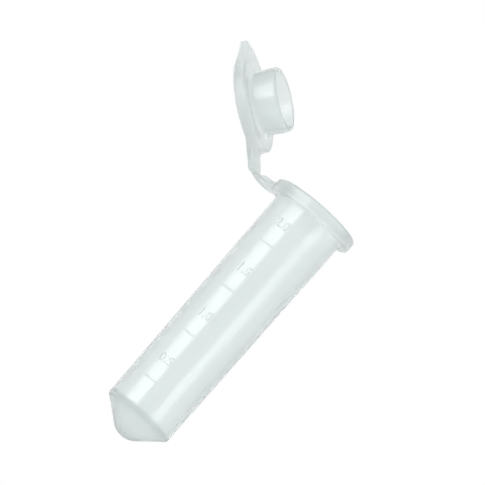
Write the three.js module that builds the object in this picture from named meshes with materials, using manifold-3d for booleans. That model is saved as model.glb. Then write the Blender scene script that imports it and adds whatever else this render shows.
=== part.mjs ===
// 2 ml microcentrifuge tube with a hinged snap lid, moulded in one piece from
// natural polypropylene. Units are millimetres.
// Origin: on the tube axis, in the plane of the mouth flange's underside.
// +Z runs up the tube axis to the mouth, and the hinge strap leaves towards -X.
// The lid is drawn closed on the tube and then turned about the hinge axis to
// the half-open rest pose.

import * as THREE from "three";
import { mergeVertices } from "three/addons/utils/BufferGeometryUtils.js";
import Module from "manifold-3d";

const wasm = await Module();
wasm.setup();

// Driving dimensions of the tube
const flangeRadius = 6.6;
const flangeHeight = 1.75;
const flangeEdge = 0.35;
const barrelTopRadius = 5.4;
const shoulderRadius = 5.1;
const shoulderZ = -34.9;
const shoulderFillet = 0.7;
const tipZ = -38.35;
const coneHalfAngle = THREE.MathUtils.degToRad(49);
const wall = 0.8;
const coneWall = 0.85;
const footFillet = 1.1;
const footRise = 0.35;
const tipHeight = 1.6;

// Driving dimensions of the bore's mouth, where the plug seats
const boreRadius = 4.52;
const seatDepth = 3.1;
const mouthRadius = 4.88;
const mouthTaperHeight = 1.75;
const mouthTaperRadius = 4.75;
const seatStep = 0.06;

// Driving dimensions of the lid
const lidRadius = 6.6;
const lidThickness = 1.65;
const lidEdge = 0.3;
const seatGap = 0.05;
const plugHeight = 3.65;
const plugRootRadius = 4.34;
const plugBeadRadius = 4.48;
const plugBeadHeight = 2.7;
const plugBeadRound = 2;
const plugWall = 0.5;
const plugLipInset = 0.12;
const tabReach = 3.5;
const tabTipRadius = 0.9;
const tabTipThickness = 0.45;
const tabCurl = 0.12;
const tabRootInset = 1;

// Driving dimensions of the hinge
const hingeX = -10.33;
const hingeZ = 1.91;
const openAngle = THREE.MathUtils.degToRad(136.8);
const strapHalfWidth = 2.35;
const strapRootLength = 1.6;
const strapThickness = 0.65;
const strapOverlap = 1;
const strapTubeTop = 1.2;
const creaseX = -11.2;
const creaseZ = 0.75;
const creaseThickness = 0.28;

// Gap left between neighbouring sections of the one moulding
const joint = 0.02;

// Raised marks down the side of the barrel
const markLevels = [-6.7, -14.65, -22.6, -30.55];
const markArc = THREE.MathUtils.degToRad(24);
const markHeight = 0.3;
const markRelief = 0.07;
const markBite = 0.3;

// Facets around each round section
const roundFacets = 96;

const mouthZ = flangeHeight;
const group = new THREE.Group();
group.name = "microcentrifuge_tube";

// Natural polypropylene, a little glossier on the barrel than on the lid
function polypropylene(colour, roughness) {
  return new THREE.MeshStandardMaterial({
    color: colour,
    roughness: roughness,
    metalness: 0,
    transparent: true,
    opacity: 0.55,
    side: THREE.DoubleSide,
  });
}

function addPart(name, geometry, material) {
  const mesh = new THREE.Mesh(geometry, material);
  mesh.name = name;
  material.name = name + "_plastic";
  group.add(mesh);
  return mesh;
}

function revolve(points, facets = roundFacets) {
  const profile = points.map(([r, z]) => new THREE.Vector2(r, z));
  const geometry = new THREE.LatheGeometry(profile, facets);
  geometry.rotateX(Math.PI / 2);
  return geometry;
}

// Arc through the angles from and to, in degrees, about a centre in the profile
function arc(centreR, centreZ, radius, from, to, steps) {
  const points = [];
  for (let i = 0; i <= steps; i += 1) {
    const angle = THREE.MathUtils.degToRad(from + ((to - from) * i) / steps);
    points.push([centreR + radius * Math.cos(angle), centreZ + radius * Math.sin(angle)]);
  }
  return points;
}

// Three.js geometry to a manifold solid, and back
function solid(geometry) {
  const bare = geometry.clone();
  bare.deleteAttribute("normal");
  bare.deleteAttribute("uv");
  const merged = mergeVertices(bare, 1e-4);
  const mesh = new wasm.Mesh({
    numProp: 3,
    vertProperties: new Float32Array(merged.attributes.position.array),
    triVerts: new Uint32Array(merged.index.array),
  });
  return new wasm.Manifold(mesh);
}

function geometryOf(manifold) {
  const mesh = manifold.getMesh();
  const geometry = new THREE.BufferGeometry();
  const positions = new Float32Array(mesh.numVert * 3);
  for (let i = 0; i < mesh.numVert; i += 1) {
    for (let k = 0; k < 3; k += 1) {
      positions[i * 3 + k] = mesh.vertProperties[i * mesh.numProp + k];
    }
  }
  geometry.setAttribute("position", new THREE.BufferAttribute(positions, 3));
  geometry.setIndex(Array.from(mesh.triVerts));
  geometry.computeVertexNormals();
  return geometry;
}

// A solid of one outline, in the plane of X and Z, reaching as far each side of Y = 0
function extrudeAcross(outline, halfWidth) {
  const shape = new THREE.Shape(outline.map(([x, z]) => new THREE.Vector2(x, z)));
  const geometry = new THREE.ExtrudeGeometry(shape, {
    depth: 2 * halfWidth,
    bevelEnabled: false,
  });
  geometry.translate(0, 0, -halfWidth);
  geometry.rotateX(Math.PI / 2);
  return geometry;
}

// Turns a geometry drawn closed to the rest pose, about the hinge axis
function openLid(geometry) {
  geometry.translate(-hingeX, 0, -hingeZ);
  geometry.rotateY(-openAngle);
  geometry.translate(hingeX, 0, hingeZ);
  return geometry;
}

// --- Tube -------------------------------------------------------------------

// Outer radius of the drafted barrel at a height
function barrelRadius(z) {
  const share = z / shoulderZ;
  return barrelTopRadius + (shoulderRadius - barrelTopRadius) * share;
}

// Cone and rounded nose: a sphere tangent to the cone, its lowest point at tip
function coneProfile(topRadius, topZ, tip, fillet, filletSteps, noseSteps) {
  const half = coneHalfAngle;
  const apexZ = topZ - topRadius / Math.tan(half);
  const nose = (tip - apexZ) / (1 / Math.sin(half) - 1);
  const noseCentre = tip + nose;
  const slope = THREE.MathUtils.radToDeg(half);
  const points = arc(0, noseCentre, nose, -90, -slope, noseSteps);
  points[0][0] = 0;
  const filletTangent = fillet * Math.tan((Math.PI / 2 - half) / 2);
  const centreZ = topZ + filletTangent;
  points.push(...arc(topRadius - fillet, centreZ, fillet, -slope, 0, filletSteps));
  return points;
}

const splitZ = shoulderZ + tipHeight;
const boreFootRadius = shoulderRadius - wall;
const boreFootZ = shoulderZ + footRise;

function boreRadiusAt(z) {
  const top = mouthZ - seatDepth;
  return boreRadius + ((boreFootRadius - boreRadius) * (top - z)) / (top - boreFootZ);
}

function conicalTip() {
  const outside = coneProfile(shoulderRadius, shoulderZ, tipZ, shoulderFillet, 5, 8);
  const inside = coneProfile(boreFootRadius, boreFootZ, tipZ + coneWall, footFillet, 5, 6);
  const points = [
    ...outside,
    [barrelRadius(splitZ), splitZ],
    [boreRadiusAt(splitZ), splitZ],
    ...inside.reverse(),
  ];
  return revolve(points);
}

// Raised graduation bars, one per half millilitre, 90 degrees round from the hinge
function graduationBar(level) {
  const inner = barrelRadius(level) - markBite;
  const outer = barrelRadius(level) + markRelief;
  const steps = 6;
  const outline = [];
  for (let i = 0; i <= steps; i += 1) {
    const angle = -Math.PI / 2 - markArc / 2 + (markArc * i) / steps;
    outline.push(new THREE.Vector2(outer * Math.cos(angle), outer * Math.sin(angle)));
  }
  for (let i = steps; i >= 0; i -= 1) {
    const angle = -Math.PI / 2 - markArc / 2 + (markArc * i) / steps;
    outline.push(new THREE.Vector2(inner * Math.cos(angle), inner * Math.sin(angle)));
  }
  const geometry = new THREE.ExtrudeGeometry(new THREE.Shape(outline), {
    depth: markHeight,
    bevelEnabled: false,
  });
  geometry.translate(0, 0, level - markHeight / 2);
  return geometry;
}

function barrel() {
  const seatZ = mouthZ - seatDepth;
  const taperZ = mouthZ - mouthTaperHeight;
  const points = [
    [barrelRadius(splitZ), splitZ + joint],
    [barrelTopRadius, 0],
    [barrelTopRadius, mouthZ],
    [mouthRadius, mouthZ],
    [mouthTaperRadius, taperZ],
    [mouthTaperRadius - seatStep, taperZ - seatStep],
    [boreRadius + seatStep, seatZ + seatStep],
    [boreRadius, seatZ],
    [boreRadiusAt(splitZ), splitZ + joint],
    [barrelRadius(splitZ), splitZ + joint],
  ];
  let body = solid(revolve(points));
  for (const level of markLevels) {
    body = body.add(solid(graduationBar(level)));
  }
  return geometryOf(body);
}

// Flat ring round the mouth: racks hold the tube by its underside
function mouthFlange() {
  const inner = barrelTopRadius + joint;
  const points = [
    [inner, 0],
    [flangeRadius - flangeEdge, 0],
    ...arc(flangeRadius - flangeEdge, flangeEdge, flangeEdge, -90, 0, 4).slice(1),
    ...arc(flangeRadius - flangeEdge, mouthZ - flangeEdge, flangeEdge, 0, 90, 4),
    [inner, mouthZ],
    [inner, 0],
  ];
  return revolve(points);
}

// Round cutter that leaves a joint's width of room round a disc of a radius
function clearOf(radius, z) {
  const outer = radius + joint;
  const cutter = new THREE.CylinderGeometry(outer, outer, 4 * flangeHeight, roundFacets);
  cutter.rotateX(Math.PI / 2);
  cutter.translate(0, 0, z);
  return solid(cutter);
}

// Stiff root of the hinge strap, growing from the edge of a disc of a radius
function strapRoot(radius, top) {
  const end = -(radius + strapRootLength);
  const start = -(radius - strapOverlap);
  const under = top - strapThickness;
  const outline = [
    [end, under],
    [start, under],
    [start, top],
    [end, top],
  ];
  const bar = solid(extrudeAcross(outline, strapHalfWidth));
  return geometryOf(bar.subtract(clearOf(radius, top)));
}

// --- Lid --------------------------------------------------------------------

const lidUnderZ = mouthZ + seatGap;
const lidTopZ = lidUnderZ + lidThickness;

// Round cover plate, its plug left out
function lidDisc() {
  const points = [
    [0, lidUnderZ],
    [lidRadius - lidEdge, lidUnderZ],
    ...arc(lidRadius - lidEdge, lidUnderZ + lidEdge, lidEdge, -90, 0, 4).slice(1),
    ...arc(lidRadius - lidEdge, lidTopZ - lidEdge, lidEdge, 0, 90, 4),
    [0, lidTopZ],
  ];
  return revolve(points);
}

// Hollow sealing plug under the cover plate, with a bead near its open end
function lidPlug() {
  const rootZ = lidUnderZ - joint;
  const beadZ = lidUnderZ - plugBeadHeight;
  const endZ = lidUnderZ - plugHeight;
  const lip = plugWall / 2;
  const lipCentre = plugBeadRadius - plugLipInset - lip;
  const points = [
    [plugRootRadius, rootZ],
    [plugRootRadius - plugWall, rootZ],
    ...arc(lipCentre, endZ + lip, lip, 180, 360, 8),
    ...arc(plugBeadRadius - plugBeadRound, beadZ, plugBeadRound, -20, 20, 8),
    [plugRootRadius, rootZ],
  ];
  return revolve(points);
}

const tabRootX = lidRadius - tabRootInset;
const tabEndX = lidRadius + tabReach;

// Outline of the tab seen from the side: its top lifts a little towards the tip,
// and its underside rounds up to it
function tabSide() {
  const steps = 12;
  const rise = lidThickness - tabTipThickness + tabCurl;
  const top = [];
  const underside = [];
  for (let i = 0; i <= steps; i += 1) {
    const turn = (i / steps) * (Math.PI / 2);
    const share = Math.sin(turn);
    const x = tabRootX + (tabEndX - tabRootX) * share;
    top.push([x, lidTopZ + tabCurl * share * share]);
    underside.push([x, lidUnderZ + rise * (1 - Math.cos(turn))]);
  }
  return [[0, lidUnderZ], ...underside, ...top.reverse(), [0, lidTopZ]];
}

// Thumb tab: blends off the disc and narrows to a round tip
function thumbTab() {
  const tipCentre = tabEndX - tabTipRadius;
  const tangent = Math.acos((lidRadius - tabTipRadius) / tipCentre);
  const plan = [];
  const tipSteps = 8;
  for (let i = 0; i <= tipSteps; i += 1) {
    const angle = -tangent + (2 * tangent * i) / tipSteps;
    const x = tipCentre + tabTipRadius * Math.cos(angle);
    plan.push(new THREE.Vector2(x, tabTipRadius * Math.sin(angle)));
  }
  const rootX = lidRadius * Math.cos(tangent);
  const rootY = lidRadius * Math.sin(tangent);
  plan.push(new THREE.Vector2(rootX, rootY), new THREE.Vector2(rootX, -rootY));
  const plate = new THREE.ExtrudeGeometry(new THREE.Shape(plan), {
    depth: lidThickness + tabCurl,
    bevelEnabled: false,
  });
  plate.translate(0, 0, lidUnderZ);
  const side = solid(extrudeAcross(tabSide(), 2 * lidRadius));
  const tab = solid(plate).intersect(side).subtract(clearOf(lidRadius, lidTopZ));
  return geometryOf(tab);
}

// --- Hinge web ----------------------------------------------------------------

// Closed-pose point of the lid, carried to the rest pose
function restPoint(x, z) {
  const c = Math.cos(openAngle);
  const s = Math.sin(openAngle);
  const dx = x - hingeX;
  const dz = z - hingeZ;
  return [hingeX + dx * c - dz * s, hingeZ + dx * s + dz * c];
}

// Thin flexible strap between the two roots, creased where it folds
function hingeWeb() {
  const strapTubeEnd = -(flangeRadius + strapRootLength);
  const strapLidEnd = -(lidRadius + strapRootLength);
  const tubeTop = [strapTubeEnd - joint, strapTubeTop];
  const tubeUnder = [strapTubeEnd - joint, strapTubeTop - strapThickness];
  const lidTop = restPoint(strapLidEnd - joint, lidTopZ);
  const lidUnder = restPoint(strapLidEnd - joint, lidTopZ - strapThickness);
  const half = creaseThickness / 2;
  const outline = [
    tubeUnder,
    tubeTop,
    [creaseX + half, creaseZ + half],
    lidUnder,
    lidTop,
    [creaseX - half, creaseZ - half],
  ];
  return extrudeAcross(outline, strapHalfWidth);
}

addPart("conical_tip", conicalTip(), polypropylene("#dfe6e5", 0.3));
addPart("tube_barrel", barrel(), polypropylene("#e3e9e8", 0.3));
addPart("mouth_flange", mouthFlange(), polypropylene("#dbe4e3", 0.35));
addPart("strap_root_tube", strapRoot(flangeRadius, strapTubeTop), polypropylene("#dbe4e3", 0.35));
addPart("hinge_web", hingeWeb(), polypropylene("#dbe4e3", 0.4));
addPart("strap_root_lid", openLid(strapRoot(lidRadius, lidTopZ)), polypropylene("#dbe4e3", 0.35));
addPart("lid_disc", openLid(lidDisc()), polypropylene("#dde5e4", 0.35));
addPart("lid_plug", openLid(lidPlug()), polypropylene("#e0e7e6", 0.3));
addPart("thumb_tab", openLid(thumbTab()), polypropylene("#dbe4e3", 0.35));

export default group;
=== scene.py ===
import math

import bmesh
import bpy
from mathutils import Matrix, Vector


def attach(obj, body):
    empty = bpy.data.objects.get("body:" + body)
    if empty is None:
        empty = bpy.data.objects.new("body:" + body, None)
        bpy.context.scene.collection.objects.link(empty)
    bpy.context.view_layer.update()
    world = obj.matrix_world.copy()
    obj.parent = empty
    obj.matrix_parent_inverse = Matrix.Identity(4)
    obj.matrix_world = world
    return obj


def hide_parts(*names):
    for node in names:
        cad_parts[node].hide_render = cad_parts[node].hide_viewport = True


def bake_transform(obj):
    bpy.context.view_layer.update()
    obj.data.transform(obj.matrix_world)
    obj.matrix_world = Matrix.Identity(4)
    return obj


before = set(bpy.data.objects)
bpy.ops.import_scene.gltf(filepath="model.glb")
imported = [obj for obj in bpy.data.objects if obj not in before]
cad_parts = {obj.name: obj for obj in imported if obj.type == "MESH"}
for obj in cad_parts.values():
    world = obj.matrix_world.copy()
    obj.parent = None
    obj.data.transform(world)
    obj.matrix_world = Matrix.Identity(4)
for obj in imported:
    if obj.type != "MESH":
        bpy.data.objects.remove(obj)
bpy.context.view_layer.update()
MM = 0.001


# ---------------------------------------------------------------------------
# Tube body. Injection-moulded natural polypropylene: a drafted barrel with a
# conical bottom, a flange round the mouth that hangs in a rack, and the stiff
# root of the hinge strap growing out of the flange.
# ---------------------------------------------------------------------------

FLANGE_RADIUS = 6.6
FLANGE_HEIGHT = 1.75
FLANGE_EDGE = 0.35
FLANGE_FILLET = 0.3
MOUTH_RADIUS = 4.88
MOUTH_LIP = 0.12
BARREL_TOP_RADIUS = 5.4
SHOULDER_RADIUS = 5.1
SHOULDER_Z = -34.9
SHOULDER_FILLET = 0.7
TIP_Z = -38.35
TIP_WALL = 0.85
CONE_HALF_ANGLE = 49.0
BORE_RADIUS = 4.52
BORE_FOOT_RADIUS = 4.3
BORE_FOOT_Z = -34.55
BORE_FOOT_EASE = 0.45
BORE_FOOT_FILLET = 1.1
# The plug's seat, as radius and height: a wide lead-in, a land and the bore
SEAT = [
    (4.75, 0.05),
    (4.73, -0.02),
    (4.68, -0.07),
    (4.66, -0.12),
    (4.60, -1.20),
    (4.585, -1.27),
    (4.54, -1.33),
    (BORE_RADIUS, -1.40),
]
# The stiff root of the strap runs out over a fillet to a straight end
STRAP_FILLET_X = -7.15
STRAP_ROOT_X = -8.2
STRAP_ROOT_STEPS = 5
STRAP_THICKNESS = 0.65
STRAP_TUBE_TOP = 1.2
STRAP_HALF_WIDTH = 2.35
STRAP_CORNER = 0.2
STRAP_CORNER_SHARE = 0.45
CORNER_TURN = 22.5
# The strap leaves each round edge through a mouth 20 facets wide, 6 tall
COLUMN_STEP = 2.5
MOUTH_COLUMNS = 20
MOUTH_ROWS = 6
CORNER_COLUMNS = 2
# Facets along the parts of a turned profile
ROUND_STEPS = 4
FILLET_STEPS = 6
NOSE_STEPS = 8
BORE_NOSE_STEPS = 7
UNDER_FLANGE_STEPS = 3
WALL_STEPS = 14
# Points closer together than this, in metres, are one point
WELD_DISTANCE = 1e-7


def arc(centre_r, centre_z, radius, start, end, steps):
    """Points on an arc of a turned profile, angles in degrees."""
    points = []
    for i in range(steps + 1):
        angle = math.radians(start + (end - start) * i / steps)
        r = centre_r + radius * math.cos(angle)
        z = centre_z + radius * math.sin(angle)
        points.append((r, z))
    return points


def line(a, b, steps):
    """Points from a to b, leaving out a itself."""
    return [
        (a[0] + (b[0] - a[0]) * i / steps, a[1] + (b[1] - a[1]) * i / steps)
        for i in range(1, steps + 1)
    ]


def cone_bottom(radius, z, tip, fillet, nose_steps):
    """Nose sphere, cone and shoulder fillet, from the axis up to the wall."""
    half = math.radians(CONE_HALF_ANGLE)
    apex = z - radius / math.tan(half)
    nose = (tip - apex) / (1 / math.sin(half) - 1)
    points = arc(0, tip + nose, nose, -90, -CONE_HALF_ANGLE, nose_steps)
    shoulder_z = z + fillet * math.tan((math.pi / 2 - half) / 2)
    shoulder = arc(
        radius - fillet, shoulder_z, fillet, -CONE_HALF_ANGLE, 0, FILLET_STEPS
    )
    points += line(points[-1], shoulder[0], ROUND_STEPS)[:-1] + shoulder
    points[0] = (0.0, points[0][1])
    return points


def mesh_piece(name, vertices, faces):
    """A smooth-shaded object of vertices in millimetres."""
    mesh = bpy.data.meshes.new(name)
    mesh.from_pydata([Vector(v) * MM for v in vertices], [], faces)
    mesh.validate()
    work = bmesh.new()
    work.from_mesh(mesh)
    bmesh.ops.remove_doubles(work, verts=work.verts, dist=WELD_DISTANCE)
    bmesh.ops.recalc_face_normals(work, faces=work.faces)
    work.to_mesh(mesh)
    work.free()
    for face in mesh.polygons:
        face.use_smooth = True
    piece = bpy.data.objects.new(name, mesh)
    bpy.context.scene.collection.objects.link(piece)
    return piece


def mouth_edge(index, low_row, first_column):
    """Indices round the strap's mouth, in the order of the strap's section."""
    high_row = low_row + MOUTH_ROWS
    between = range(low_row + 1, high_row)
    columns = [first_column + i for i in range(MOUTH_COLUMNS + 1)]
    edge = [index[high_row, c] for c in columns]
    edge += [index[r, columns[-1]] for r in reversed(between)]
    edge += [index[low_row, c] for c in reversed(columns)]
    edge += [index[r, columns[0]] for r in between]
    return edge


def loft(columns, mouth_row, mouth_column):
    """Joins columns of points, each from the axis out and back to the axis.

    The strap's mouth stays open, and the indices round it come back too."""
    rows = len(columns[0])
    vertices = [columns[0][0], columns[0][-1]]
    index = {}
    for c, column in enumerate(columns):
        for r in range(1, rows - 1):
            index[r, c] = len(vertices)
            vertices.append(column[r])
        index[0, c] = 0
        index[rows - 1, c] = 1
    open_rows = range(mouth_row, mouth_row + MOUTH_ROWS)
    open_columns = range(mouth_column, mouth_column + MOUTH_COLUMNS)
    faces = []
    for c in range(len(columns)):
        d = (c + 1) % len(columns)
        for r in range(rows - 1):
            if r in open_rows and c in open_columns:
                continue
            ring = [index[r, c], index[r, d], index[r + 1, d], index[r + 1, c]]
            # At the axis two corners are one point, and the facet a triangle
            faces.append(list(dict.fromkeys(ring)))
    return vertices, faces, mouth_edge(index, mouth_row, mouth_column)


def strap_section(middle_x, middle_z, along, half_width, thickness):
    """The strap's rounded cross-section, starting at the first mouth column.

    along is the strap's direction in the plane of X and Z."""
    up = (-along[1], along[0]) if along[0] > 0 else (along[1], -along[0])
    corner = min(STRAP_CORNER, thickness * STRAP_CORNER_SHARE)
    flat = half_width - corner
    rise = thickness / 2 - corner

    def turn(steps):
        angle = math.radians(CORNER_TURN * steps)
        return flat + corner * math.cos(angle), rise + corner * math.sin(angle)

    upper_corner = [turn(2), turn(3), turn(4)]
    lower_corner = [turn(1), turn(0)]
    inner = MOUTH_COLUMNS - 2 * CORNER_COLUMNS
    top = list(upper_corner)
    top += [(flat - 2 * flat * i / inner, rise + corner) for i in range(1, inner)]
    top += [(-y, z) for y, z in reversed(upper_corner)]
    side = list(lower_corner)
    side.append((lower_corner[1][0], 0.0))
    side += [(y, -z) for y, z in reversed(lower_corner)]
    outline = list(top)
    outline += [(-y, z) for y, z in side]
    outline += [(y, -z) for y, z in reversed(top)]
    outline += list(reversed(side))
    return [(middle_x + up[0] * z, y, middle_z + up[1] * z) for y, z in outline]


def carry_strap(vertices, faces, below, section):
    """Joins one more section on to the strap."""
    above = [len(vertices) + i for i in range(len(section))]
    vertices.extend(section)
    for i in range(len(section)):
        j = (i + 1) % len(section)
        faces.append([below[i], below[j], above[j], above[i]])
    return above


def grow_strap_root(vertices, faces, mouth, middle_z):
    """Carries a mouth's edge over a fillet to the straight end of the root.

    The strap's section at that end comes back."""
    outward = (-1, 0)
    size = (STRAP_HALF_WIDTH, STRAP_THICKNESS)
    start = [vertices[i] for i in mouth]
    fillet_end = strap_section(STRAP_FILLET_X, middle_z, outward, *size)
    below = mouth
    for step in range(1, STRAP_ROOT_STEPS + 1):
        turn = math.radians(90 * step / STRAP_ROOT_STEPS)
        along = 1 - math.cos(turn)
        across = math.sin(turn)
        section = [
            (
                a[0] + (b[0] - a[0]) * along,
                a[1] + (b[1] - a[1]) * across,
                a[2] + (b[2] - a[2]) * across,
            )
            for a, b in zip(start, fillet_end)
        ]
        below = carry_strap(vertices, faces, below, section)
    end = strap_section(STRAP_ROOT_X, middle_z, outward, *size)
    carry_strap(vertices, faces, below, end)
    return end


def barrel_radius(z):
    draft = SHOULDER_RADIUS - BARREL_TOP_RADIUS
    return BARREL_TOP_RADIUS + draft * z / SHOULDER_Z


def tube_profile():
    """Outside from the tip up, over the flange and mouth, down the bore."""
    points = cone_bottom(
        SHOULDER_RADIUS, SHOULDER_Z, TIP_Z, SHOULDER_FILLET, NOSE_STEPS
    )
    under = -FLANGE_FILLET
    fillet_r = BARREL_TOP_RADIUS + FLANGE_FILLET
    points += line(points[-1], (barrel_radius(under), under), WALL_STEPS)
    points += arc(fillet_r, under, FLANGE_FILLET, 180, 90, ROUND_STEPS)[1:]
    edge = FLANGE_RADIUS - FLANGE_EDGE
    points += line(points[-1], (edge, 0.0), UNDER_FLANGE_STEPS)
    points += arc(edge, FLANGE_EDGE, FLANGE_EDGE, -90, 0, ROUND_STEPS)[1:]
    mouth_row = len(points) - 1
    side_top = FLANGE_HEIGHT - FLANGE_EDGE
    points += line(points[-1], (FLANGE_RADIUS, side_top), MOUTH_ROWS)
    points += arc(edge, side_top, FLANGE_EDGE, 0, 90, ROUND_STEPS)[1:]
    lip_r = MOUTH_RADIUS + MOUTH_LIP
    lip_z = FLANGE_HEIGHT - MOUTH_LIP
    points += line(points[-1], (lip_r, FLANGE_HEIGHT), ROUND_STEPS)
    points += arc(lip_r, lip_z, MOUTH_LIP, 90, 180, ROUND_STEPS)[1:]
    points += SEAT
    bore_end = (BORE_FOOT_RADIUS, BORE_FOOT_Z + BORE_FOOT_EASE)
    points += line(SEAT[-1], bore_end, WALL_STEPS)
    foot = cone_bottom(
        BORE_FOOT_RADIUS,
        BORE_FOOT_Z,
        TIP_Z + TIP_WALL,
        BORE_FOOT_FILLET,
        BORE_NOSE_STEPS,
    )
    foot.reverse()
    return points + foot[1:], mouth_row


def build_tube():
    profile, mouth_row = tube_profile()
    columns = []
    for i in range(int(360 / COLUMN_STEP)):
        turn = math.radians(COLUMN_STEP * i)
        c, s = math.cos(turn), math.sin(turn)
        columns.append([(r * c, r * s, z) for r, z in profile])
    mouth_column = int(180 / COLUMN_STEP) - MOUTH_COLUMNS // 2
    vertices, faces, mouth = loft(columns, mouth_row, mouth_column)
    middle = STRAP_TUBE_TOP - STRAP_THICKNESS / 2
    end = grow_strap_root(vertices, faces, mouth, middle)
    return mesh_piece("tube_body", vertices, faces), end


class Value:
    """A shader socket that takes part in sums; each operator adds a Math node."""

    def __init__(self, recipe, socket):
        self.recipe = recipe
        self.socket = socket

    def sum(self, operation, left, right):
        settings = {"operation": operation}
        node = self.recipe.node("ShaderNodeMath", settings, left, right)
        return node.value("Value")

    def __add__(self, other):
        return self.sum("ADD", self, other)

    def __radd__(self, other):
        return self.sum("ADD", other, self)

    def __sub__(self, other):
        return self.sum("SUBTRACT", self, other)

    def __rsub__(self, other):
        return self.sum("SUBTRACT", other, self)

    def __mul__(self, other):
        return self.sum("MULTIPLY", self, other)

    def __rmul__(self, other):
        return self.sum("MULTIPLY", other, self)


class Node:
    """One shader node whose outputs are asked for by name or number."""

    def __init__(self, recipe, node):
        self.recipe = recipe
        self.node = node

    def value(self, output):
        return Value(self.recipe, self.node.outputs[output])


# The colour mix's sockets share their names with others, so they go by number
MIX_FIRST, MIX_SECOND, MIX_RESULT = 6, 7, 2
# A new ramp already has a stop at each end
RAMP_ENDS = 2


class Recipe:
    """The node tree of one material or of the studio's surroundings."""

    def __init__(self, tree):
        self.tree = tree
        tree.nodes.clear()

    def feed(self, socket, given):
        """Links a value to a socket, or sets the socket to a plain one."""
        if isinstance(given, Value):
            self.tree.links.new(given.socket, socket)
        else:
            socket.default_value = given

    def set_stops(self, ramp, stops):
        for i, (position, colour) in enumerate(stops):
            if i < RAMP_ENDS:
                stop = ramp.elements[i]
            else:
                stop = ramp.elements.new(position)
            stop.position = position
            stop.color = (*colour, 1)

    def node(self, kind, settings=None, *ordered, **named):
        """A node of this kind: settings first, then values for its sockets."""
        made = self.tree.nodes.new(kind)
        for name, setting in (settings or {}).items():
            if name == "stops":
                self.set_stops(made.color_ramp, setting)
            else:
                setattr(made, name, setting)
        for socket, given in zip(made.inputs, ordered):
            self.feed(socket, given)
        for name, given in named.items():
            self.feed(made.inputs[name.replace("_", " ")], given)
        return Node(self, made)

    def mix(self, share, first, second):
        """The first colour going over to the second as share goes to 1."""
        made = self.node("ShaderNodeMix", {"data_type": "RGBA"}, share)
        for place, given in ((MIX_FIRST, first), (MIX_SECOND, second)):
            colour = given if isinstance(given, Value) else (*given, 1)
            self.feed(made.node.inputs[place], colour)
        return made.value(MIX_RESULT)


# Haze in the wall softens its refraction, and only the skin bends light fully
BODY_IOR = 1.2
SKIN_IOR = 1.49
SKIN_ROUGHNESS = 0.05
CLEAR_TINT = (0.965, 0.985, 0.982)
MILKY_TINT = (0.915, 0.95, 0.945)
# Flow streaks lie along the tube, clouds and mould grain in no direction
STREAK_STRETCH = (1.0, 1.0, 0.22)
STREAK_SCALE = 420.0
STREAK_DETAIL = 3.0
STREAK_SHARE = 0.45
CLOUD_SCALE = 130.0
CLOUD_DETAIL = 4.0
CLOUD_SHARE = 0.55
GRAIN_SCALE = 5200.0
GRAIN_DETAIL = 2.0
STREAK_ROUGHNESS = 0.10
GRAIN_ROUGHNESS = 0.05
GRAIN_BUMP = 0.12
GRAIN_DEPTH = 0.00002
# Painted shade: the thick places, the corner round the foot, the nose and the
# flange, are tinted greyer
SHADE_TINT = (0.78, 0.815, 0.805)
CORNER_Z = -34.95
CORNER_HALF_HEIGHT = 0.3
CORNER_FADE = 0.35
NOSE_SHADE = 0.6
NOSE_FROM_Z = -36.4
NOSE_FULL_Z = -38.1
FLANGE_SHADE = 0.65
FLANGE_FROM_Z = -0.2
FLANGE_FULL_Z = 0.6
MATT_FLANGE = 0.9
# Painted shade: walls seen edge on are tinted grey too
EDGE_BLEND = 0.25
EDGE_FROM = 0.45
EDGE_TO = 0.9
EDGE_SHADE = 0.5
EDGE_SHADE_TINT = (0.72, 0.76, 0.76)


def smooth_step(recipe, given, none, full):
    """Goes from 0 to 1 as a value goes from none to full."""
    settings = {"interpolation_type": "SMOOTHSTEP"}
    step = recipe.node("ShaderNodeMapRange", settings, given, none, full)
    return step.value("Result")


def fade(recipe, size, none, full):
    """The same for a size in metres between two sizes in millimetres."""
    return smooth_step(recipe, size, none * MM, full * MM)


def shade_and_matt_in_tube(recipe, place):
    """Share of the painted shade and matt coat in the nose, foot corner and flange.
    """
    height = recipe.node("ShaderNodeSeparateXYZ", None, place).value("Z")
    from_corner = height - CORNER_Z * MM
    settings = {"operation": "ABSOLUTE"}
    away = recipe.node("ShaderNodeMath", settings, from_corner).value("Value")
    reach = CORNER_HALF_HEIGHT + CORNER_FADE
    corner = fade(recipe, away, reach, CORNER_HALF_HEIGHT)
    nose = fade(recipe, height, NOSE_FROM_Z, NOSE_FULL_Z) * NOSE_SHADE
    flange = fade(recipe, height, FLANGE_FROM_Z, FLANGE_FULL_Z) * FLANGE_SHADE
    return nose + corner + flange


def noise(recipe, place, scale, detail):
    return recipe.node(
        "ShaderNodeTexNoise", None, Vector=place, Scale=scale, Detail=detail
    ).value("Fac")


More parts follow.
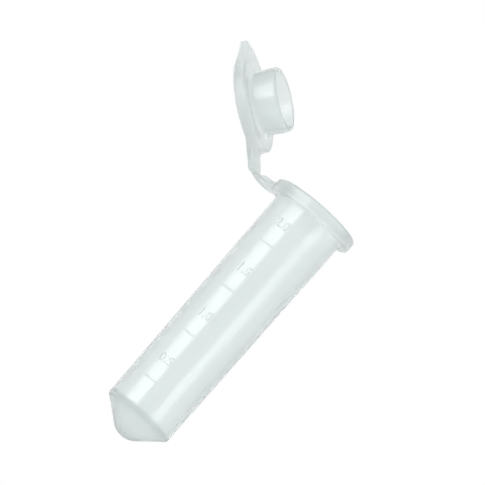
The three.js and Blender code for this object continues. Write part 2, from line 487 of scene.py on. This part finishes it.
def natural_polypropylene(name, shade_and_matt_places, blur, milkiness, clearness):
    """Translucent plastic: hazy flow streaks, fine mould texture, soft gloss, and
    painted shade in thick places and at walls seen edge on.
    """
    material = bpy.data.materials.new(name)
    material.use_nodes = True
    recipe = Recipe(material.node_tree)
    place = recipe.node("ShaderNodeTexCoord").value("Object")
    stretched = recipe.node(
        "ShaderNodeMapping", None, Vector=place, Scale=STREAK_STRETCH
    ).value("Vector")
    streaks = noise(recipe, stretched, STREAK_SCALE, STREAK_DETAIL)
    clouds = noise(recipe, place, CLOUD_SCALE, CLOUD_DETAIL)
    grain = noise(recipe, place, GRAIN_SCALE, GRAIN_DETAIL)
    haze = streaks * STREAK_SHARE + clouds * CLOUD_SHARE
    colour = recipe.mix(haze * milkiness, CLEAR_TINT, MILKY_TINT)
    # Painted shade: thick places are tinted greyer, and their coat is made matt
    shade_and_matt = shade_and_matt_places(recipe, place)
    colour = recipe.mix(shade_and_matt, colour, SHADE_TINT)
    # Painted shade: walls seen edge on are tinted grey
    facing = recipe.node("ShaderNodeLayerWeight", None, EDGE_BLEND).value("Facing")
    edge = smooth_step(recipe, facing, EDGE_FROM, EDGE_TO)
    colour = recipe.mix(edge * EDGE_SHADE, colour, EDGE_SHADE_TINT)
    uneven = (streaks - 0.5) * STREAK_ROUGHNESS + (grain - 0.5) * GRAIN_ROUGHNESS
    bump = recipe.node(
        "ShaderNodeBump",
        None,
        Strength=GRAIN_BUMP,
        Distance=GRAIN_DEPTH,
        Height=grain,
    ).value("Normal")
    plastic = recipe.node(
        "ShaderNodeBsdfPrincipled",
        None,
        Base_Color=colour,
        Roughness=uneven + blur,
        IOR=BODY_IOR,
        Transmission_Weight=clearness,
        Coat_Weight=1.0 - shade_and_matt * MATT_FLANGE,
        Coat_Roughness=SKIN_ROUGHNESS,
        Coat_IOR=SKIN_IOR,
        Normal=bump,
    ).value("BSDF")
    recipe.node("ShaderNodeOutputMaterial", None, plastic)
    return material


tube_body, tube_strap_end = build_tube()
tube_body.data.materials.append(
    natural_polypropylene(
        "tube_polypropylene",
        shade_and_matt_in_tube,
        blur=0.3,
        milkiness=0.9,
        clearness=0.88,
    )
)
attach(tube_body, "tube")
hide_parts("tube_barrel", "conical_tip", "mouth_flange", "strap_root_tube")


# ---------------------------------------------------------------------------
# Graduations. Four low bars and their numbers, raised on the outside of the
# barrel by recesses engraved in the mould.
# ---------------------------------------------------------------------------

MARK_LEVELS = {"2.0": -6.7, "1.5": -14.65, "1.0": -22.6, "0.5": -30.55}
MARK_MIDDLE = -85.0
MARK_HALF_ARC = 12.0
# Bars and numbers stand out by their relief and bite a little into the wall
MARK_RELIEF = 0.06
NUMBER_RELIEF = 0.035
MARK_BITE = 0.04
BAR_HEIGHT = 0.32
BAR_STEPS = 20
BAR_ROWS = 6
BAR_END_POWER = 8
NUMBER_SIZE = 1.8
NUMBER_RISE = 2.7
NUMBER_CURVE_STEPS = 4


def on_barrel(across, z, relief):
    """Point over the barrel: across in degrees from the middle of the marks."""
    angle = math.radians(MARK_MIDDLE + across)
    radius = barrel_radius(z) + relief
    return (radius * math.cos(angle), radius * math.sin(angle), z)


def graduation_bar(level, vertices, faces):
    """One bar with a rounded crown and round ends, sunk a little in the wall."""
    first = len(vertices)
    for i in range(BAR_STEPS + 1):
        along = -1 + 2 * i / BAR_STEPS
        narrowing = math.sqrt(max(0.0, 1 - along**BAR_END_POWER))
        for k in range(BAR_ROWS + 1):
            turn = math.pi * k / BAR_ROWS
            rise = -math.cos(turn) * BAR_HEIGHT / 2 * narrowing
            crown = (MARK_RELIEF + MARK_BITE) * math.sin(turn) * narrowing
            point = on_barrel(along * MARK_HALF_ARC, level + rise, crown - MARK_BITE)
            vertices.append(point)
    row = BAR_ROWS + 1
    for i in range(BAR_STEPS):
        for k in range(row):
            a = first + i * row + k
            b = first + i * row + (k + 1) % row
            faces.append([a, b, b + row, a + row])


def graduation_number(words, level, vertices, faces):
    """A number standing above its bar, bent round the barrel."""
    outline = bpy.data.curves.new("number", "FONT")
    outline.body = words
    outline.size = NUMBER_SIZE
    outline.align_x = "CENTER"
    outline.resolution_u = NUMBER_CURVE_STEPS
    outline.extrude = (NUMBER_RELIEF + MARK_BITE) / 2
    drawn = bpy.data.objects.new("number", outline)
    mesh = bpy.data.meshes.new_from_object(drawn)
    first = len(vertices)
    for vertex in mesh.vertices:
        x, y, depth = vertex.co
        across = math.degrees(x / barrel_radius(level))
        relief = depth + (NUMBER_RELIEF - MARK_BITE) / 2
        vertices.append(on_barrel(across, level + NUMBER_RISE + y, relief))
    faces.extend([first + v for v in face.vertices] for face in mesh.polygons)
    bpy.data.objects.remove(drawn)
    bpy.data.curves.remove(outline)
    bpy.data.meshes.remove(mesh)


def build_marks():
    vertices, faces = [], []
    for words, level in MARK_LEVELS.items():
        graduation_bar(level, vertices, faces)
        graduation_number(words, level, vertices, faces)
    return mesh_piece("graduation_marks", vertices, faces)


graduation_marks = build_marks()
graduation_marks.data.materials.append(
    natural_polypropylene(
        "mark_polypropylene",
        shade_and_matt_in_tube,
        blur=0.4,
        milkiness=1.0,
        clearness=0.8,
    )
)
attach(graduation_marks, "tube")


# ---------------------------------------------------------------------------
# Lid. One moulding with the tube: a round cover plate with a broad thumb tab,
# a hollow plug that seals inside the bore, and the lid's end of the strap.
# It is drawn closed and turned open about the hinge axis.
# ---------------------------------------------------------------------------

LID_RADIUS = 6.6
LID_UNDER = 1.80
LID_TOP = 3.45
LID_EDGE = 0.3
LID_EDGE_SHARE = 0.42
# A close ring of facets keeps the top face flat up to its rounded edge
EDGE_HOLD = 0.08
UNDER_STEPS = 12
SIDE_STEPS = 5
TOP_STEPS = 9
# Points up the plate's side to the lower edge of the strap's mouth
MOUTH_FROM_POINT = 6
# The plug's roof inside is flat from the axis to its fillet
PLUG_ROOF_RADII = (0.0, 1.2, 2.4)
PLUG_ROOF_MARGIN = 0.45
PLUG_ROOF_FILLET = 0.35
PLUG_ROOT = 4.34
PLUG_BEAD = 4.48
PLUG_WALL = 0.5
PLUG_LENGTH = 3.65
PLUG_END = LID_UNDER - PLUG_LENGTH
ROOT_FILLET = 0.5
LIP_INSET = 0.12
LIP_STRAIGHT = 0.1
LIP_STEPS = 8
# The sealing bead bulges on a large arc, reached over the lead-in's small one
BEAD_RISE = 0.95
BEAD_ROUND = 8.0
BEAD_FROM = -3
BEAD_TO = 4.1
LEAD_ROUND = 1.0
LEAD_FROM = -19
TAB_REACH = 3.5
TAB_TIP_RADIUS = 0.9
TAB_TIP_THICKNESS = 0.42
TAB_CURL = 0.2
TAB_START = 5.6
# Columns of facets in degrees: fine at the tab's tip, wider along its sides
TIP_TURNS = [0.6 * i for i in range(14)] + [9.0, 10.2, 11.6, 13.2]
TAB_TURNS_FROM = 15.0
TAB_TURN = 1.25
EVEN_TURNS_FROM = 75.0
HINGE_X = -10.33
HINGE_Z = 1.91
OPEN_ANGLE = math.radians(136.8)
# Corner and side points that a strap section has between its two faces
SECTION_SIDE = 5
# The cover plate is thicker than the plug's wall, and gets more painted shade
PLATE_SHADE = 0.4
PLUG_SHADE = 0.24
PLATE_FROM = 0.6
PLATE_FULL = -0.2


def opened(point):
    """A point of the closed lid, carried to the half-open rest pose."""
    c, s = math.cos(OPEN_ANGLE), math.sin(OPEN_ANGLE)
    dx, dz = point[0] - HINGE_X, point[2] - HINGE_Z
    return (HINGE_X + dx * c - dz * s, point[1], HINGE_Z + dx * s + dz * c)


def tab_rim(degrees):
    """Radius of the plate's outline: the round lid, or the tab beyond it."""
    tip = LID_RADIUS + TAB_REACH - TAB_TIP_RADIUS
    tangent = math.acos((LID_RADIUS - TAB_TIP_RADIUS) / tip)
    turn = math.radians(abs((degrees + 180) % 360 - 180))
    if turn >= tangent:
        return LID_RADIUS
    touch = math.atan2(
        TAB_TIP_RADIUS * math.sin(tangent), tip + TAB_TIP_RADIUS * math.cos(tangent)
    )
    if turn >= touch:
        return LID_RADIUS / math.cos(tangent - turn)
    across = tip * math.sin(turn)
    return tip * math.cos(turn) + math.sqrt(TAB_TIP_RADIUS**2 - across**2)


def tab_share(x):
    return max(0.0, (x - TAB_START) / (LID_RADIUS + TAB_REACH - TAB_START))


def plate_top(x):
    return LID_TOP + TAB_CURL * tab_share(x) ** 2


def plate_under(x):
    rise = LID_TOP - LID_UNDER - TAB_TIP_THICKNESS + TAB_CURL
    share = min(tab_share(x), 1.0)
    return LID_UNDER + rise * (1 - math.sqrt(max(0.0, 1 - share**2)))


def plug_profile():
    """Section of the hollow plug, from its roof inside to its root outside."""
    inner = PLUG_ROOT - PLUG_WALL
    fillet = PLUG_ROOF_FILLET
    points = [(r, LID_UNDER) for r in PLUG_ROOF_RADII]
    points.append((inner - PLUG_ROOF_MARGIN, LID_UNDER))
    points += arc(inner - fillet, LID_UNDER - fillet, fillet, 90, 0, ROUND_STEPS)
    lip = PLUG_WALL / 2
    lip_r = PLUG_BEAD - LIP_INSET - lip
    lip_z = PLUG_END + lip
    points += line(points[-1], (lip_r - lip, lip_z + LIP_STRAIGHT), ROUND_STEPS)
    points += arc(lip_r, lip_z, lip, 180, 360 + LEAD_FROM, LIP_STEPS)
    bead_r = PLUG_BEAD - BEAD_ROUND
    bead_z = PLUG_END + BEAD_RISE
    bead = arc(bead_r, bead_z, BEAD_ROUND, BEAD_FROM, BEAD_TO, FILLET_STEPS)
    turn = math.radians(BEAD_FROM)
    lead_r = bead[0][0] - LEAD_ROUND * math.cos(turn)
    lead_z = bead[0][1] - LEAD_ROUND * math.sin(turn)
    lead = arc(lead_r, lead_z, LEAD_ROUND, LEAD_FROM, BEAD_FROM, ROUND_STEPS)
    points += lead[:-1] + bead
    root_r = PLUG_ROOT + ROOT_FILLET
    root_z = LID_UNDER - ROOT_FILLET
    points += line(points[-1], (PLUG_ROOT, root_z), ROUND_STEPS)
    points += arc(root_r, root_z, ROOT_FILLET, 180, 90, FILLET_STEPS)[1:]
    return points


def lid_column(degrees):
    """Profile of the lid at one angle, from the plug's inside to the top."""
    turn = math.radians(degrees)
    c, s = math.cos(turn), math.sin(turn)
    points = [(r * c, r * s, z) for r, z in plug_profile()]
    start = PLUG_ROOT + ROOT_FILLET
    rim = tab_rim(degrees)
    thickness = plate_top(rim * c) - plate_under((rim - LID_EDGE) * c)
    edge = min(LID_EDGE, thickness * LID_EDGE_SHARE)
    inside = rim - edge
    for i in range(1, UNDER_STEPS + 1):
        r = start + (inside - start) * i / UNDER_STEPS
        points.append((r * c, r * s, plate_under(r * c)))
    low = plate_under(inside * c)
    high = plate_top(rim * c)
    mouth_row = len(points) + MOUTH_FROM_POINT
    side = arc(inside, low + edge, edge, -90, 0, ROUND_STEPS)[1:]
    side += line(side[-1], (rim, high - edge), SIDE_STEPS)
    side += arc(inside, high - edge, edge, 0, 90, ROUND_STEPS)[1:]
    points += [(r * c, r * s, z) for r, z in side]
    held = inside - EDGE_HOLD
    points.append((held * c, held * s, plate_top(inside * c)))
    for i in range(1, TOP_STEPS + 1):
        r = held * (1 - i / TOP_STEPS)
        points.append((r * c, r * s, plate_top(r * c)))
    return points, mouth_row


def lid_turns():
    """Angles of the lid's columns: even, and closer together round the tab."""
    tab_count = int((EVEN_TURNS_FROM - TAB_TURNS_FROM) / TAB_TURN)
    even_count = int((180 - EVEN_TURNS_FROM) / COLUMN_STEP)
    half = list(TIP_TURNS)
    half += [TAB_TURNS_FROM + TAB_TURN * i for i in range(tab_count)]
    half += [EVEN_TURNS_FROM + COLUMN_STEP * i for i in range(even_count)]
    return half + [180.0] + [360.0 - t for t in reversed(half[1:])]


def build_lid():
    turns = lid_turns()
    columns = []
    for degrees in turns:
        points, mouth_row = lid_column(degrees)
        columns.append(points)
    mouth_column = turns.index(180.0) - MOUTH_COLUMNS // 2
    vertices, faces, mouth = loft(columns, mouth_row, mouth_column)
    middle = LID_TOP - STRAP_THICKNESS / 2
    end = grow_strap_root(vertices, faces, mouth, middle)
    # Folded over, the strap meets the lid with its two faces changed round
    turned = end[::-1]
    met = turned[SECTION_SIDE:] + turned[:SECTION_SIDE]
    piece = mesh_piece("snap_lid", [opened(v) for v in vertices], faces)
    return piece, [opened(v) for v in met]


def shade_and_matt_in_lid(recipe, place):
    """Share of the painted shade and matt coat, going from the cover plate to the
    plug.
    """
    hinge = (HINGE_X * MM, 0, HINGE_Z * MM)
    plug_way = (math.sin(OPEN_ANGLE), 0, -math.cos(OPEN_ANGLE))
    from_hinge = recipe.node(
        "ShaderNodeVectorMath", {"operation": "SUBTRACT"}, place, hinge
    ).value("Vector")
    along = recipe.node(
        "ShaderNodeVectorMath", {"operation": "DOT_PRODUCT"}, from_hinge, plug_way
    ).value("Value")
    plate = fade(recipe, along, PLATE_FROM, PLATE_FULL)
    return plate * (PLATE_SHADE - PLUG_SHADE) + PLUG_SHADE


snap_lid, lid_strap_end = build_lid()
snap_lid.data.materials.append(
    natural_polypropylene(
        "lid_polypropylene",
        shade_and_matt_in_lid,
        blur=0.45,
        milkiness=0.6,
        clearness=0.96,
    )
)
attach(snap_lid, "lid")
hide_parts("lid_disc", "lid_plug", "thumb_tab", "strap_root_lid")


# ---------------------------------------------------------------------------
# Living hinge. The thin middle of the strap, moulded with the tube and lid,
# thinnest at the crease where it folds.
# ---------------------------------------------------------------------------

# The stiff root ends in a short step down to the thin band
BAND_X = -9.0
BAND_Z = 0.66
BAND_THICKNESS = 0.42
CREASE_X = -11.2
CREASE_Z = 0.75
CREASE_THICKNESS = 0.22
CREASE_HALF_WIDTH = 2.2
# The strap's direction as it leaves the tube, and on each side of the crease
OUTWARD = (-1, 0)
INTO_CREASE = (-0.98, 0.2)
OUT_OF_CREASE = (-0.72, 0.7)
# Each stretch's pull towards its two directions, and its facets
TO_BAND = ((1.0, 0.8), 8)
TO_CREASE = ((0.8, 0.5), 8)
TO_LID = ((0.5, 0.9), 14)
# Two points this share of the way in from the strap's two ends
HINGE_INSET = 0.12


def curve(start, leaving, end, arriving, pulls, steps):
    """Stations on a smooth curve that leaves and arrives in given directions.

    A station is x, z, thickness and half width. The pulls say how far the
    curve follows the two directions."""
    reach = math.dist(start[:2], end[:2])
    ends = (start, (*leaving, 0, 0), end, (*arriving, 0, 0))
    stations = []
    for i in range(steps + 1):
        t = i / steps
        weights = (
            2 * t**3 - 3 * t**2 + 1,
            (t**3 - 2 * t**2 + t) * reach * pulls[0],
            3 * t**2 - 2 * t**3,
            (t**3 - t**2) * reach * pulls[1],
        )
        station = [sum(w * e[k] for w, e in zip(weights, ends)) for k in range(4)]
        stations.append(tuple(station))
    return stations


def build_hinge():
    from_tube = (STRAP_ROOT_X, STRAP_TUBE_TOP - STRAP_THICKNESS / 2)
    to_lid = opened((STRAP_ROOT_X, 0, LID_TOP - STRAP_THICKNESS / 2))
    to_lid = (to_lid[0], to_lid[2])
    tube_end = (*from_tube, STRAP_THICKNESS, STRAP_HALF_WIDTH)
    band = (BAND_X, BAND_Z, BAND_THICKNESS, STRAP_HALF_WIDTH)
    crease = (CREASE_X, CREASE_Z, CREASE_THICKNESS, CREASE_HALF_WIDTH)
    lid_end = (*to_lid, STRAP_THICKNESS, STRAP_HALF_WIDTH)
    lid_way = (math.cos(OPEN_ANGLE), math.sin(OPEN_ANGLE))
    path = curve(tube_end, OUTWARD, band, OUTWARD, *TO_BAND)
    path += curve(band, OUTWARD, crease, INTO_CREASE, *TO_CREASE)[1:]
    path += curve(crease, OUT_OF_CREASE, lid_end, lid_way, *TO_LID)[1:]
    vertices, faces = list(tube_strap_end), []
    below = list(range(len(tube_strap_end)))
    for before, here, after in zip(path, path[1:], path[2:]):
        dx = after[0] - before[0]
        dz = after[1] - before[1]
        length = math.hypot(dx, dz)
        x, z, thickness, half_width = here
        along = (dx / length, dz / length)
        section = strap_section(x, z, along, half_width, thickness)
        below = carry_strap(vertices, faces, below, section)
    carry_strap(vertices, faces, below, lid_strap_end)
    return mesh_piece("hinge_strap", vertices, faces), from_tube, to_lid


hinge_strap, hinge_from, hinge_to = build_hinge()
hinge_strap.data.materials.append(
    natural_polypropylene(
        "hinge_polypropylene",
        shade_and_matt_in_tube,
        blur=0.5,
        milkiness=0.3,
        clearness=0.95,
    )
)
hinge_start = [a + (b - a) * HINGE_INSET for a, b in zip(hinge_from, hinge_to)]
hinge_end = [b + (a - b) * HINGE_INSET for a, b in zip(hinge_from, hinge_to)]
hinge_start[0] * MM
hinge_start[1] * MM
hinge_end[0] * MM
hinge_end[1] * MM
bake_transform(hinge_strap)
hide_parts("hinge_web")


# ---------------------------------------------------------------------------
# Studio. A pale floor far below, a bright background, five soft boxes and the
# camera on its stand, rolled so that the tube leans to the right.
# ---------------------------------------------------------------------------

AIM = Vector((-5.812, 0.489, -7.542)) * MM
CAMERA_DISTANCE = 1.0
CAMERA_AZIMUTH = math.radians(30.74)
CAMERA_ELEVATION = math.radians(-8.9)
CAMERA_ROLL = math.radians(41.09)
SENSOR_WIDTH = 36
LENS = 554.4
SIGHT_LIMIT = 20
# Name, degrees round the tube from the camera, height, distance, width,
# tallness and power
SOFT_BOXES = (
    ("key_soft_box", -51, 0.08, 0.60, 0.48, 0.44, 1.55),
    ("fill_soft_box", 45, -0.045, 0.70, 0.38, 0.26, 0.27),
    ("upper_soft_box", 43, 0.185, 0.70, 0.14, 0.20, 0.07),
    ("lid_soft_box", -38, -0.14, 0.60, 0.25, 0.20, 0.30),
    ("side_soft_box", 95, -0.24, 0.60, 0.60, 0.50, 1.4),
)
# Each box aims at a point on the tube's axis at this share of its own height
AIM_SHARE = 0.3
FLOOR_REACH = 3.0
FLOOR_Z = -0.30
FLOOR_COLOUR = (0.95, 0.96, 0.96, 1)
FLOOR_ROUGHNESS = 0.8
# Light from behind the camera at 0, from behind the tube at 1
SURROUND = [
    (0.0, (0.72, 0.755, 0.755)),
    (1.0, (0.85, 0.88, 0.88)),
    (0.45, (0.73, 0.76, 0.76)),
    (0.72, (0.74, 0.78, 0.78)),
    (0.9, (0.85, 0.88, 0.88)),
]
WHITE = (1.0, 1.0, 1.0)

back = Vector(
    (
        math.sin(CAMERA_AZIMUTH) * math.cos(CAMERA_ELEVATION),
        -math.cos(CAMERA_AZIMUTH) * math.cos(CAMERA_ELEVATION),
        math.sin(CAMERA_ELEVATION),
    )
)
sideways_on = Vector((math.cos(CAMERA_AZIMUTH), math.sin(CAMERA_AZIMUTH), 0))
upright = back.cross(sideways_on)
camera_right = sideways_on * math.cos(CAMERA_ROLL) + upright * math.sin(CAMERA_ROLL)
camera_up = upright * math.cos(CAMERA_ROLL) - sideways_on * math.sin(CAMERA_ROLL)


def standing_at(position, right, up, behind):
    """World matrix of something placed by its own three directions."""
    turned = Matrix((right, up, behind)).transposed().to_4x4()
    return Matrix.Translation(position) @ turned


camera_data = bpy.data.cameras.new("camera")
camera_data.sensor_width = SENSOR_WIDTH
camera_data.lens = LENS
camera_data.clip_end = SIGHT_LIMIT
camera = bpy.data.objects.new("camera", camera_data)
camera_place = AIM + back * CAMERA_DISTANCE
camera.matrix_world = standing_at(camera_place, camera_right, camera_up, back)
bpy.context.scene.collection.objects.link(camera)
bpy.context.scene.camera = camera


def soft_box(name, sideways, height, distance, width, tall, power):
    """Area light: sideways in degrees round the tube from the camera."""
    turn = math.radians(sideways)
    away = back * math.cos(turn) + sideways_on * math.sin(turn)
    away.z = 0
    away.normalize()
    data = bpy.data.lights.new(name, "AREA")
    data.shape = "RECTANGLE"
    data.size = width
    data.size_y = tall
    data.energy = power
    light = bpy.data.objects.new(name, data)
    position = away * distance + Vector((0, 0, height))
    facing = (position - Vector((0, 0, height * AIM_SHARE))).normalized()
    right = Vector((0, 0, 1)).cross(facing).normalized()
    light.matrix_world = standing_at(position, right, facing.cross(right), facing)
    bpy.context.scene.collection.objects.link(light)


for box in SOFT_BOXES:
    soft_box(*box)

floor_mesh = bpy.data.meshes.new("floor")
floor_corners = [
    (x * FLOOR_REACH, y * FLOOR_REACH, FLOOR_Z)
    for x, y in ((-1, -1), (1, -1), (1, 1), (-1, 1))
]
floor_mesh.from_pydata(floor_corners, [], [(0, 1, 2, 3)])
floor = bpy.data.objects.new("floor", floor_mesh)
bpy.context.scene.collection.objects.link(floor)
floor_paint = bpy.data.materials.new("floor_paint")
floor_paint.use_nodes = True
recipe = Recipe(floor_paint.node_tree)
paint = recipe.node(
    "ShaderNodeBsdfPrincipled",
    None,
    Base_Color=FLOOR_COLOUR,
    Roughness=FLOOR_ROUGHNESS,
).value("BSDF")
recipe.node("ShaderNodeOutputMaterial", None, paint)
floor_mesh.materials.append(floor_paint)

# The background is seen white; light that reaches the tube falls off sideways
world = bpy.data.worlds.new("studio")
bpy.context.scene.world = world
world.use_nodes = True
recipe = Recipe(world.node_tree)
direction = recipe.node("ShaderNodeTexCoord").value("Generated")
behind = recipe.node(
    "ShaderNodeVectorMath", {"operation": "DOT_PRODUCT"}, direction, tuple(-back)
).value("Value")
share = behind * 0.5 + 0.5
surround = recipe.node(
    "ShaderNodeValToRGB", {"stops": SURROUND}, share
).value("Color")
seen = recipe.node("ShaderNodeLightPath").value("Is Camera Ray")
shown = recipe.mix(seen, surround, WHITE)
glow = recipe.node("ShaderNodeBackground", None, shown, 1.0).value("Background")
recipe.node("ShaderNodeOutputWorld", None, glow)

scene = bpy.context.scene
scene.view_settings.view_transform = "Standard"
scene.cycles.max_bounces = 32
scene.cycles.transmission_bounces = 32
scene.cycles.glossy_bounces = 16
scene.cycles.diffuse_bounces = 12
